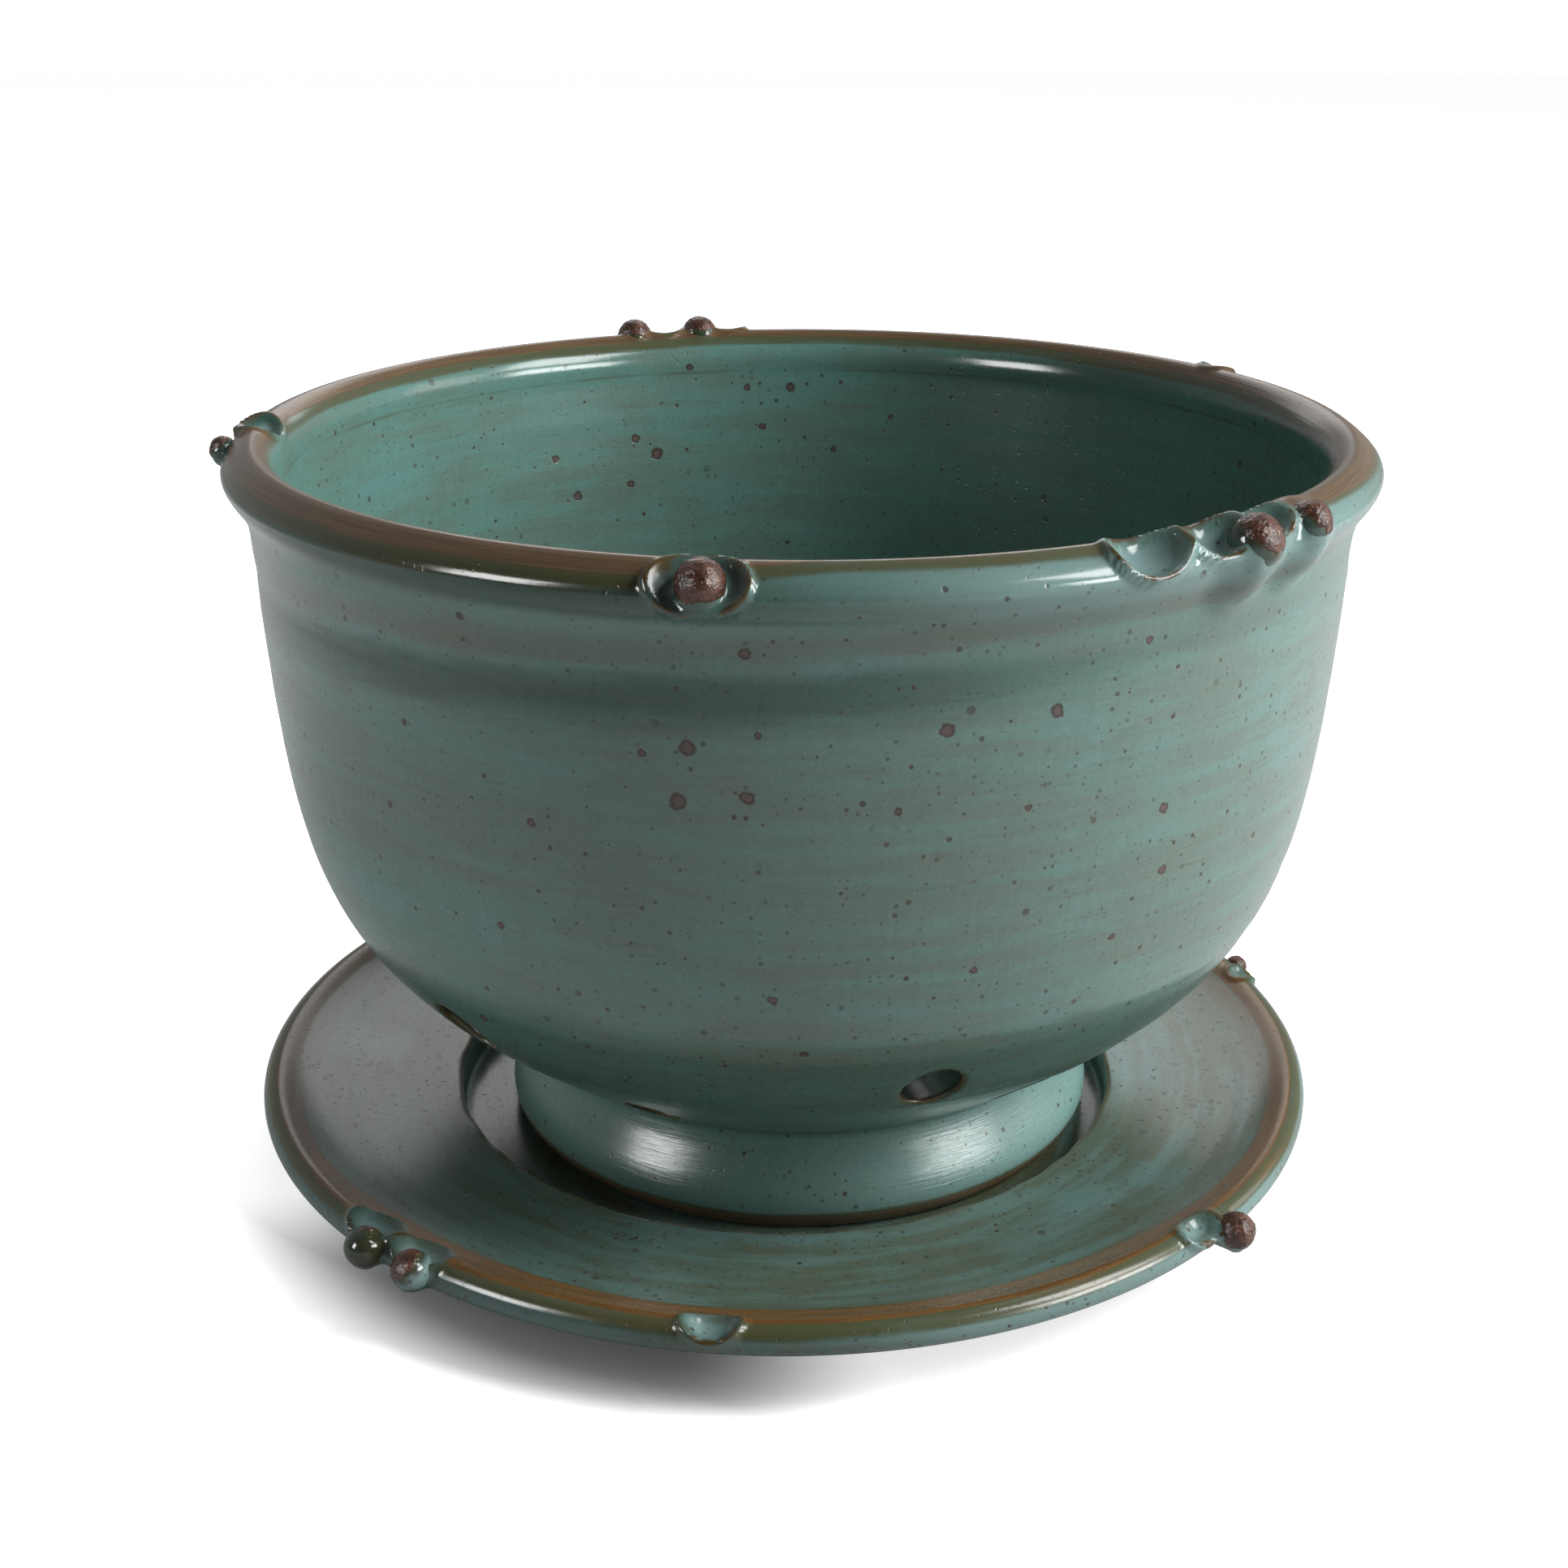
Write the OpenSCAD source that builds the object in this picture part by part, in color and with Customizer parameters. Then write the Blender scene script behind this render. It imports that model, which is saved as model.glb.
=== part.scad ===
// Berry colander bowl: a thrown bowl with two rows of drain holes round the bottom of its wall,
// standing in the well of its own saucer. Small clay beads are pressed into scoops in both rims.
// The origin is the centre of the saucer's flat base, +Z is up and the front is towards -Y.
// An angle round the bowl or saucer is 0 at the front and grows towards +X.

/* [Bowl] */
// Width over the rolled rim
bowl_d = 165; // [150:0.5:190]
// Height from the foot to the crest of the rim
bowl_h = 108.8; // [95:0.1:125]
// Thickness of the rolled rim
rim_t = 8.8; // [7.5:0.1:11]
// How far the rolled rim stands out from the wall below it
rim_overhang = 3.3; // [2:0.1:4.5]
// Distance from the crest of the rim down to where the wall begins to widen into it
rim_drop = 11.8; // [10:0.1:15]
// Thickness of the wall
wall_t = 5; // [4:0.1:6.5]
// Thickness of the floor
floor_t = 6.6; // [5:0.1:9]
// Width of the flat part of the floor inside
floor_d = 66; // [50:0.5:72]

/* [Foot] */
// Width of the flared foot
foot_d = 92; // [84:0.5:96]
// Height of the neck above the bottom of the foot
foot_h = 14.2; // [12:0.1:18]
// Width of the neck, where the foot meets the wall
neck_d = 84.4; // [78:0.2:88]
// Depth of the groove at the neck
neck_groove = 0.9; // [0.5:0.1:1.5]
// Height of the bare edge above the bottom of the foot
edge_h = 2.3; // [1.5:0.1:3.5]
// Width of the bevel under the bare edge
edge_bevel = 2; // [1:0.1:3]
// Width of the flat ring that the bowl stands on
ring_t = 5.6; // [4:0.1:8]
// Slope of the inside of the foot, as a width
ring_slope = 1.5; // [0:0.1:3]

/* [Saucer] */
// Width over the saucer's rim
saucer_d = 163.8; // [150:0.2:180]
// Height of the saucer at the crest of its rim
saucer_h = 14; // [12.5:0.1:18]
// Thickness of the saucer's rolled rim
saucer_rim_t = 4.7; // [4:0.1:6]
// Width of the well that the foot stands in
well_d = 103; // [100:0.5:112]
// Depth of the well below its edge
well_depth = 5.3; // [4:0.1:6]
// Rounding of the well's edge
well_round = 0.6; // [0.3:0.1:1]
// Thickness of the clay under the well
well_floor_t = 4; // [3:0.1:6]
// Width of the flat base
base_d = 116; // [100:1:124]

/* [Drain holes] */
// Width of a drain hole
hole_d = 8; // [5:0.1:9]
// Number of holes in each row
row_count = 6; // [4:1:8]
// Height of the upper row above the bottom of the foot
upper_row_h = 33.5; // [30:0.1:40]
// Height of the lower row above the bottom of the foot
lower_row_h = 20.4; // [19.5:0.1:22]
// How far every second hole of the lower row lies above or below that height
row_stagger = 2.1; // [0:0.1:2.5]

/* [Scoops and beads] */
// Radius of the largest scoop in the bowl's rim
scoop_r = 6; // [4.5:0.1:7]
// Radius of the largest bead on the bowl's rim
bead_r = 3.6; // [2.8:0.1:4]
// Radius of the largest scoop in the saucer's rim
saucer_scoop_r = 4.5; // [3.5:0.1:5]
// Radius of the largest bead on the saucer's rim
saucer_bead_r = 2.9; // [2.2:0.1:3.2]
// How far the clay pushed out of a scoop stands proud of the rim
lip_t = 1.1; // [0.6:0.1:1.5]

/* [Hidden] */
$fn = 180;
// Facets round a sphere, and steps along a drawn curve
sphere_fn = 72;
wall_steps = 14;
foot_steps = 6;
rim_steps = 4;
flange_steps = 6;
// One overrun for every cut
overrun = 1;

// Rolled rims: radius of the roll, and the circle that its centre follows
roll_r = rim_t / 2;
rim_r = bowl_d / 2 - roll_r;
rim_z = bowl_h - roll_r;
saucer_roll_r = saucer_rim_t / 2;
saucer_rim_r = saucer_d / 2 - saucer_roll_r;
saucer_rim_z = saucer_h - saucer_roll_r;

// The bowl's wall is one curve from the neck to just under the rim
neck = [neck_d / 2, foot_h];
wall_top = [bowl_d / 2 - rim_overhang, bowl_h - rim_drop];
wall_bend_shares = [[0.895, 0.27], [0.927, 0.348]];
wall_curve = [
    neck,
    neck + place_share(wall_top - neck, wall_bend_shares[0]),
    neck + place_share(wall_top - neck, wall_bend_shares[1]),
    wall_top
];
// The curve under the rim ends inside the roll, this share of the roll's radius from its centre
under_rim_share = 0.92;
under_rim_angle = -14;
under_rim_bend_share = 0.42;
under_rim_curve = [
    wall_top,
    wall_top + [0, (rim_z - wall_top.y) * under_rim_bend_share],
    [rim_r, rim_z] + under_rim_share * roll_r * [cos(under_rim_angle), sin(under_rim_angle)]
];

// Foot: a roll that swells from the neck to the bare edge, on a ring with a flat bottom
foot_r = foot_d / 2;
foot_core_r = neck.x - neck_groove;
foot_top_angle = 75;
ring_out_r = foot_r - edge_bevel;
ring_in_r = ring_out_r - ring_t;
// The floor lies above the neck by this share of its thickness, over a recess inside the foot
floor_rise_share = 0.25;
floor_z = foot_h + floor_rise_share * floor_t;
recess_h = floor_z - floor_t;

// Saucer: well, flange and underside
well_r = well_d / 2;
base_r = base_d / 2;
well_edge_z = well_floor_t + well_depth;
flange_end_shares = [-0.55, 0.3];
flange_end = [saucer_rim_r, saucer_rim_z] + saucer_roll_r * flange_end_shares;
flange_bend_shares = [0.52, 0.05];
flange_curve = [
    [well_r + well_round, well_edge_z],
    [well_r, well_edge_z]
        + place_share(flange_end - [well_r, well_edge_z], flange_bend_shares),
    flange_end
];
under_end_shares = [-0.2, -0.75];
under_end = [saucer_rim_r, saucer_rim_z] + saucer_roll_r * under_end_shares;
under_bend_shares = [0.25, 0.72];
under_curve = [
    [base_r, 0],
    [base_r, 0] + place_share(under_end - [base_r, 0], under_bend_shares),
    under_end
];

// The bowl stands a little off the saucer's centre, by these shares of the play in the well
well_play = well_r - foot_r;
seat_shares = [0.45, 0.35];
seat = [seat_shares.x * well_play, seat_shares.y * well_play, well_floor_t];

// Drain holes: angle of the first hole in each row, and how far the lower holes rise inwards
upper_row_angle = 15;
lower_row_angle = 35;
lower_row_rise = 15;
upper_cut_in_share = 0.55;
lower_cut_in_share = 0.4;

// Scoops and beads lie round a roll: angle round the rim, angle above level as seen from the
// roll's centre, distance from that centre as a share of the roll's radius, and radius as a share
// of the largest one
bowl_scoop_shares = [
    [-8.5, 35, 1.64, 1], [29.4, 39, 1.6, 1], [36.4, 50, 1.45, 0.75], [43.6, 55, 1.36, 0.68],
    [-162.4, 68, 1.6, 0.66], [-170.8, 62, 1.5, 0.58], [-88, 95, 1.72, 0.92], [121.5, 62, 1.42, 0.48]
];
bowl_bead_shares = [
    [-8.3, 33, 0.95, 0.86], [41.4, 26, 1.04, 1], [49.8, 29, 1.04, 0.78],
    [-158.7, 54, 1.05, 0.86], [-167.2, 60, 1, 0.89], [-84, 18, 1.08, 0.6]
];
saucer_scoop_shares = [
    [-42.2, 78, 2.14, 0.93], [-35.2, 82, 2.14, 0.93], [-6.7, 49, 2.14, 1],
    [44.7, 60, 1.97, 0.8], [105, 70, 1.7, 0.58]
];
saucer_bead_shares = [
    [-43.2, 16, 1.45, 1], [-36.7, 22, 1.45, 1], [48, 8, 1.7, 0.98], [108.5, 20, 1.2, 0.66]
];

glaze = "#5f9090";
bare_clay = "#6b463d";

// Component-wise product of a size and a pair of shares
function place_share(size, shares) = [size.x * shares.x, size.y * shares.y];

// Point of a curve with two bends, or with one
function curve3(p, t) =
    pow(1 - t, 3) * p[0] + 3 * t * pow(1 - t, 2) * p[1] + 3 * t * t * (1 - t) * p[2]
    + pow(t, 3) * p[3];
function curve2(p, t) = pow(1 - t, 2) * p[0] + 2 * t * (1 - t) * p[1] + t * t * p[2];

// Direction of the wall's curve, and the point of the wall's inside opposite a point outside
function wall_run(t) =
    pow(1 - t, 2) * (wall_curve[1] - wall_curve[0])
    + 2 * t * (1 - t) * (wall_curve[2] - wall_curve[1])
    + t * t * (wall_curve[3] - wall_curve[2]);
function inside_point(t) =
    let (run = wall_run(t)) curve3(wall_curve, t) + wall_t / norm(run) * [-run.y, run.x];

foot_points = [
    for (i = [0:foot_steps])
        let (a = foot_top_angle * i / foot_steps)
        [foot_core_r + (foot_r - foot_core_r) * cos(a), edge_h + (foot_h - edge_h) * sin(a)]
];
wall_points = [for (i = [0:wall_steps]) curve3(wall_curve, i / wall_steps)];
under_rim_points = [for (i = [1:rim_steps]) curve2(under_rim_curve, i / rim_steps)];
inside_points = [for (i = [wall_steps:-1:0]) inside_point(i / wall_steps)];

bowl_outline = concat(
    [[0, recess_h], [ring_in_r - ring_slope, recess_h], [ring_in_r, 0], [ring_out_r, 0]],
    foot_points,
    wall_points,
    under_rim_points,
    [[rim_r, rim_z], [inside_points[0].x, rim_z]],
    inside_points,
    [[floor_d / 2, floor_z], [0, floor_z]]
);

saucer_outline = concat(
    [[0, 0]],
    [for (i = [0:flange_steps]) curve2(under_curve, i / flange_steps)],
    [[saucer_rim_r, saucer_rim_z]],
    [for (i = [flange_steps:-1:0]) curve2(flange_curve, i / flange_steps)],
    [[well_r, well_edge_z - well_round], [well_r, well_floor_t], [0, well_floor_t]]
);

// Puts its children beside a roll whose centre follows a circle of radius ring_r at height ring_z
module beside_roll(ring_r, ring_z, size_r, place) {
    out = size_r * place[2];
    rotate(place[0] - 90)
        translate([ring_r + out * cos(place[1]), 0, ring_z + out * sin(place[1])])
        children();
}

module ball(ring_r, ring_z, size_r, place, ball_r) {
    beside_roll(ring_r, ring_z, size_r, place) sphere(ball_r, $fn = sphere_fn);
}

module roll(ring_r, ring_z, size_r) {
    rotate_extrude() translate([ring_r, ring_z]) circle(size_r, $fn = sphere_fn);
}

// Clay pushed outwards round a scoop
module lip(ring_r, ring_z, size_r, place, ball_r) {
    intersection() {
        roll(ring_r + lip_t, ring_z, size_r);
        ball(ring_r, ring_z, size_r, place, ball_r + lip_t);
    }
}

module rim_ball(place, ball_r) {
    ball(rim_r, rim_z, roll_r, place, ball_r * place[3]);
}

module saucer_ball(place, ball_r) {
    ball(saucer_rim_r, saucer_rim_z, saucer_roll_r, place, ball_r * place[3]);
}

// One drain hole, bored inwards at a height, rising by an angle towards the bowl's axis
module drain_hole(turn, height, rise, cut_in_share) {
    outside_r = wall_top.x + overrun;
    inside_r = outside_r * cut_in_share;
    bore_r = (outside_r + inside_r) / 2;
    rotate(turn - 90)
        translate([bore_r, 0, height])
        rotate([0, -90 + rise, 0])
        cylinder(h = outside_r - inside_r, d = hole_d, center = true);
}

module drain_holes() {
    for (i = [0:row_count - 1]) {
        step = 360 / row_count * i;
        stagger = i % 2 == 0 ? row_stagger : -row_stagger;
        drain_hole(upper_row_angle + step, upper_row_h, 0, upper_cut_in_share);
        drain_hole(lower_row_angle + step, lower_row_h + stagger, lower_row_rise,
            lower_cut_in_share);
    }
}

module bowl() {
    color(glaze) translate(seat) difference() {
        union() {
            rotate_extrude() polygon(bowl_outline);
            roll(rim_r, rim_z, roll_r);
            for (place = bowl_scoop_shares)
                lip(rim_r, rim_z, roll_r, place, scoop_r * place[3]);
        }
        for (place = bowl_scoop_shares) rim_ball(place, scoop_r);
        for (place = bowl_bead_shares) rim_ball(place, bead_r);
        drain_holes();
    }
}

module saucer() {
    color(glaze) difference() {
        union() {
            rotate_extrude() polygon(saucer_outline);
            roll(saucer_rim_r, saucer_rim_z, saucer_roll_r);
            for (place = saucer_scoop_shares)
                lip(saucer_rim_r, saucer_rim_z, saucer_roll_r, place, saucer_scoop_r * place[3]);
        }
        for (place = saucer_scoop_shares) saucer_ball(place, saucer_scoop_r);
        for (place = saucer_bead_shares) saucer_ball(place, saucer_bead_r);
    }
}

module bowl_bead(i) {
    color(bare_clay) translate(seat) rim_ball(bowl_bead_shares[i], bead_r);
}

module saucer_bead(i) {
    color(bare_clay) saucer_ball(saucer_bead_shares[i], saucer_bead_r);
}

module bowl_bead_front() { bowl_bead(0); }
module bowl_bead_right_large() { bowl_bead(1); }
module bowl_bead_right_small() { bowl_bead(2); }
module bowl_bead_back_left() { bowl_bead(3); }
module bowl_bead_back_right() { bowl_bead(4); }
module bowl_bead_left() { bowl_bead(5); }
module saucer_bead_left() { saucer_bead(0); }
module saucer_bead_front() { saucer_bead(1); }
module saucer_bead_right() { saucer_bead(2); }
module saucer_bead_back() { saucer_bead(3); }

bowl();
saucer();
bowl_bead_front();
bowl_bead_right_large();
bowl_bead_right_small();
bowl_bead_back_left();
bowl_bead_back_right();
bowl_bead_left();
saucer_bead_left();
saucer_bead_front();
saucer_bead_right();
saucer_bead_back();
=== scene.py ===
import math
from collections import namedtuple

import bmesh
import bpy
import numpy as np
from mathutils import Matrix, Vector, noise


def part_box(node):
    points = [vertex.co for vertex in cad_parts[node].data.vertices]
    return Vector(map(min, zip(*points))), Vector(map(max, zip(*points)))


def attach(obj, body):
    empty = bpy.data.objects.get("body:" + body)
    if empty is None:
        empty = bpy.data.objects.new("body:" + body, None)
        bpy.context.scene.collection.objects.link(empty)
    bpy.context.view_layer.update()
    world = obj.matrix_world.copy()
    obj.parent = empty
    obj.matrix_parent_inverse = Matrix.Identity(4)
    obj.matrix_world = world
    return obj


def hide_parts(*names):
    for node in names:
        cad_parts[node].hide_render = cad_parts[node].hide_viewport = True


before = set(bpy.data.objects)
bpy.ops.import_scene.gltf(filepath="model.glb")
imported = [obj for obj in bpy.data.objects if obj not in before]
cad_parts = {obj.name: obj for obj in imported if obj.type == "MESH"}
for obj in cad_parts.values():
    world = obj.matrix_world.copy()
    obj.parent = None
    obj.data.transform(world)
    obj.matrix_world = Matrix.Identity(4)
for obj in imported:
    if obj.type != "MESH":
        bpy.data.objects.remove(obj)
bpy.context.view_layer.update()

# A thrown stoneware berry bowl with drain holes, standing in the well of its saucer.
# Shapes are worked out in millimetres and become metres when a mesh is made.
# A turn is an angle round a piece: 0 at the front, growing towards +X.
MM = 0.001

# Sizes of the bowl. Its heights start at the bottom of its foot.
BOWL_R = 82.5
BOWL_H = 108.8
ROLL_R = 4.4
RIM_R = BOWL_R - ROLL_R
RIM_Z = BOWL_H - ROLL_R
WALL_T = 5.0
WALL_TOP = (79.2, 97.0)
NECK = (42.2, 14.2)
WALL_BENDS = ((75.3, 36.6), (76.5, 43.0))
FLOOR_R = 33.0
FLOOR_Z = 15.85
FOOT_R = 46.0
FOOT_CURVE = (
    (FOOT_R - 0.5, 1.7), (FOOT_R, 3.3), (45.9, 5.2), (45.2, 7.4), (44.0, 9.4),
    (42.9, 11.2), (42.3, 12.9), NECK,
)
RING_IN_R = 38.4
RING_OUT_R = 44.0
RECESS_R = 36.9
RECESS_Z = 9.25

# Sizes of the saucer. Its heights start at the table.
SAUCER_R = 81.9
SAUCER_ROLL_R = 2.35
SAUCER_RIM_R = SAUCER_R - SAUCER_ROLL_R
SAUCER_RIM_Z = 11.65
WELL_R = 51.5
WELL_Z = 4.0
WELL_EDGE_Z = 9.3
BASE_R = 58.0

# Drain holes: turn of the first one, height of a bore's axis at a distance from the bowl's axis,
# that distance, its rise towards the bowl's axis, and stagger
HOLE_R = 4.0
HOLE_COUNT = 6
HOLE_ROWS = ((15, 33.5, 80.2, 0, 0), (35, 20.4, 56.14, 15, 2.1))

# Scoops and beads: turn, tilt above level seen from the roll's centre, distance from that centre,
# radius. A bead also has how lumpy it is, how far brown clay reaches down from its top, where that
# top faces (tilt, and turn from the bead's own), and how much pale glaze covers the rest.
BOWL_SCOOPS = (
    (-8.5, 38, 10.0, 7.5), (29.6, 63, 6.8, 5.6), (37.0, 66, 6.3, 4.7), (44.0, 70, 6.1, 4.2),
    (-162.4, 68, 7.05, 3.95), (-170.8, 62, 6.6, 3.5), (-88, 95, 7.55, 5.5), (121.5, 62, 6.25, 2.9),
)
BOWL_BEADS = {
    "bowl_bead_front": (-8.3, 33, 4.2, 3.1, 0.05, -0.55, 75, 0, 0.3),
    "bowl_bead_right_large": (40.8, 28, 4.6, 3.6, 0.05, 0.22, 58, 40, 0.25),
    "bowl_bead_right_small": (49.0, 31, 4.7, 2.9, 0.05, 0.10, 50, 40, 0.25),
    "bowl_bead_back_left": (-158.7, 66, 3.95, 3.1, 0.04, 0.15, 88, 0, 0),
    "bowl_bead_back_right": (-167.2, 68, 3.9, 3.2, 0.06, 0.20, 85, 0, 0),
    "bowl_bead_left": (-84, 18, 4.75, 2.15, 0.16, 0.45, 60, 0, 0),
}
SAUCER_SCOOPS = (
    (-44.6, 100, 4.6, 4.8), (-37.6, 98, 4.7, 4.9), (-6.7, 84, 4.1, 3.8),
    (44.7, 66, 4.7, 3.9), (105, 70, 4.0, 2.6),
)
SAUCER_BEADS = {
    "saucer_bead_left": (-43.2, 16, 3.4, 2.9, 0.04, 0.85, 110, 0, 0),
    "saucer_bead_front": (-36.7, 22, 3.4, 2.9, 0.06, 0.30, 48, -55, 0.9),
    "saucer_bead_right": (48, 8, 4.0, 2.85, 0.10, -1.2, 40, 0, 0),
    "saucer_bead_back": (108.5, 20, 2.8, 1.9, 0.08, -0.6, 60, 0, 0),
}

# Clay pushed out below the beads at the right: turn, tilt, distance from the roll's centre, radius
BOWL_SWELLS = ((40.6, -28, 1.5, 4.2), (49.4, -24, 1.1, 4.1))

# Where a rim's crest is brown: turn, lowest and highest tilt of the brown band, lowest tilt of the
# olive below it, all in degrees, and how dark the glaze is below that. Tilt is 0 on the outside,
# 90 on the crest and 180 on the inside.
BOWL_BREAK = (
    (-180, 62, 112, 50, 0.3), (-150, 60, 114, 48, 0.3), (-110, 55, 120, 44, 0.4),
    (-85, 44, 122, 25, 0.7), (-60, 42, 116, 8, 0.85), (-40, 44, 108, 4, 0.9), (-22, 46, 106, 4, 0.9),
    (-12, 50, 104, 10, 0.7), (2, 90, 104, 52, 0.25), (20, 92, 104, 50, 0.1), (36, 88, 106, 48, 0),
    (52, 62, 112, 40, 0), (70, 46, 126, 28, 0), (95, 42, 130, 26, 0.2), (120, 58, 122, 40, 0.3),
    (150, 62, 114, 48, 0.3),
)
SAUCER_BREAK = (
    (-180, 84, 150, 50, 0.2), (-95, 96, 148, 50, 0.3), (-60, 88, 164, 30, 0.5), (-45, 80, 182, 30, 0.5),
    (-20, 84, 187, 25, 0.4), (5, 84, 187, 20, 0.3), (30, 86, 184, 20, 0.1), (60, 88, 164, 30, 0.1),
    (95, 94, 148, 50, 0.2),
)

# Where the axes stand: the bowl's comes from its widest point to the right and at the back
bowl_low, bowl_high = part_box("bowl")
BOWL_AXIS = (bowl_high.x / MM - BOWL_R, bowl_high.y / MM - BOWL_R, bowl_low.z / MM)
SAUCER_AXIS = (0.0, 0.0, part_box("saucer")[0].z / MM)

# A rolled rim. Its own glaze breaks to brown and reaches a little past the roll.
Rim = namedtuple("Rim", "axis outer_r r z roll_r scoops beads swells breaks reach left_dark")
BOWL_RIM = Rim(
    axis=BOWL_AXIS, outer_r=BOWL_R, r=RIM_R, z=RIM_Z, roll_r=ROLL_R, scoops=BOWL_SCOOPS,
    beads=BOWL_BEADS, swells=BOWL_SWELLS, breaks=BOWL_BREAK, reach=2.2, left_dark=0.9,
)
SAUCER_RIM = Rim(
    axis=SAUCER_AXIS, outer_r=SAUCER_R, r=SAUCER_RIM_R, z=SAUCER_RIM_Z, roll_r=SAUCER_ROLL_R,
    scoops=SAUCER_SCOOPS, beads=SAUCER_BEADS, swells=(), breaks=SAUCER_BREAK, reach=4.8, left_dark=0.0,
)


# Numbers and curves
def ramp(low, high, value):
    """0 at low, 1 at high and smooth between them."""
    t = np.clip((value - low) / (high - low), 0, 1)
    return t * t * (3 - 2 * t)


def soft_max(a, b, blend):
    near = np.maximum(blend - np.abs(a - b), 0) / blend
    return np.maximum(a, b) + near * near * blend / 4


def soft_min(a, b, blend):
    return -soft_max(-a, -b, blend)


def hump(value, middle, width):
    return np.exp(-((value - middle) / width) ** 2)


def direction(turn, lift):
    """Unit vector at a turn round the piece and a lift above level, both in degrees."""
    a, b = math.radians(turn), math.radians(lift)
    return np.array([math.cos(b) * math.sin(a), -math.cos(b) * math.cos(a), math.sin(b)])


def lengths(vectors):
    return np.linalg.norm(vectors, axis=1)


def halve(low, high, is_beyond, rounds):
    """Halves the gap between low and high round the place past which is_beyond holds."""
    for _ in range(rounds):
        half = (low + high) / 2
        beyond = is_beyond(half)
        low, high = np.where(beyond, low, half), np.where(beyond, half, high)
    return low, high


def bezier(points, steps=60):
    """Points along the curve that these points draw."""
    t = np.linspace(0, 1, steps + 1)[:, None]
    rows = [np.array(p, float) + 0 * t for p in points]
    while len(rows) > 1:
        rows = [a + (b - a) * t for a, b in zip(rows, rows[1:])]
    return rows[0]


def arc(middle, radii, start, end, steps=60):
    a = np.radians(np.linspace(start, end, steps + 1))
    return np.stack([middle[0] + radii[0] * np.cos(a), middle[1] + radii[1] * np.sin(a)], 1)


def through(points, steps=12):
    """A smooth curve through the points."""
    p = np.array([points[0], *points, points[-1]], float)
    t = np.linspace(0, 1, steps, endpoint=False)[:, None]
    rows = []
    for a, b, c, d in zip(p, p[1:], p[2:], p[3:]):
        rows.append(b + (c - a) / 2 * t + (a - 2.5 * b + 2 * c - d / 2) * t**2
                    + (1.5 * b - a / 2 - 1.5 * c + d / 2) * t**3)
    return np.concatenate([*rows, p[-1:]])


def run_of(points):
    return np.concatenate([[0], np.cumsum(lengths(np.diff(points, axis=0)))])


class Outline:
    """Half section of a thrown piece, from the middle of its underside to the middle of its top."""
    STEP = 0.2

    def __init__(self, parts, rounding):
        points = np.concatenate(parts)
        run = run_of(points)
        even = np.arange(0, run[-1], self.STEP)
        points = np.stack([np.interp(even, run, points[:, i]) for i in (0, 1)], 1)
        reach = int(3 * rounding / self.STEP)
        weight = np.exp(-0.5 * (np.arange(-reach, reach + 1) * self.STEP / rounding) ** 2)
        weight /= weight.sum()
        wide = np.pad(points, ((reach, reach), (0, 0)), "reflect", reflect_type="odd")
        self.points = np.stack([np.convolve(wide[:, i], weight, "valid") for i in (0, 1)], 1)
        self.run = run_of(self.points)
        along = np.gradient(self.points, axis=0)
        along /= lengths(along)[:, None]
        self.normals = np.stack([along[:, 1], -along[:, 0]], 1)

    def at(self, run):
        values = np.concatenate([self.points, self.normals], 1)
        return [np.interp(run, self.run, values[:, i]) for i in range(4)]

    def run_at(self, place, after=0.0):
        """Run of the outline's point nearest to a place, past a given run."""
        gap = lengths(self.points - np.array(place))
        gap[self.run < after] = np.inf
        return self.run[gap.argmin()]

    def nearest(self, radius, height, low, high):
        """Distance above the stretch from run low to high, with the normal and run found there."""
        kept = (self.run >= low) & (self.run <= high)
        p, n, run = self.points[kept], self.normals[kept], self.run[kept]
        shape = radius.shape
        radius, height = radius.ravel(), height.ravel()
        k = ((radius[:, None] - p[:, 0]) ** 2 + (height[:, None] - p[:, 1]) ** 2).argmin(1)
        above = (radius - p[k, 0]) * n[k, 0] + (height - p[k, 1]) * n[k, 1]
        return above.reshape(shape), n[k].reshape(*shape, 2), run[k].reshape(shape)


def rim_columns(rim, coarse=1.2, fine=0.3, margin=7.0):
    """Turns from 0 to 360 of the points round a rim, closer together at its scoops and beads."""
    spots = []
    for place in [*rim.scoops, *rim.beads.values()]:
        half = math.degrees((place[3] + 2) / rim.outer_r)
        spots.append((place[0] - half, place[0] + half))
    turns = [0.0]
    while turns[-1] < 360:
        t = turns[-1]
        gaps = [abs((t - (a + b) / 2 + 180) % 360 - 180) - (b - a) / 2 for a, b in spots]
        turns.append(t + fine + (coarse - fine) * float(ramp(0, margin, min(gaps))))
    turns = np.array(turns)
    return turns[:-1] * 360 / turns[-1]


def ball_centre(rim, place):
    """Middle of a scoop, swell or bead, measured from its piece's axis."""
    turn, tilt = math.radians(place[0]), math.radians(place[1])
    r = rim.r + place[2] * math.cos(tilt)
    return np.array([r * math.sin(turn), -r * math.cos(turn), rim.z + place[2] * math.sin(tilt)])


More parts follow.
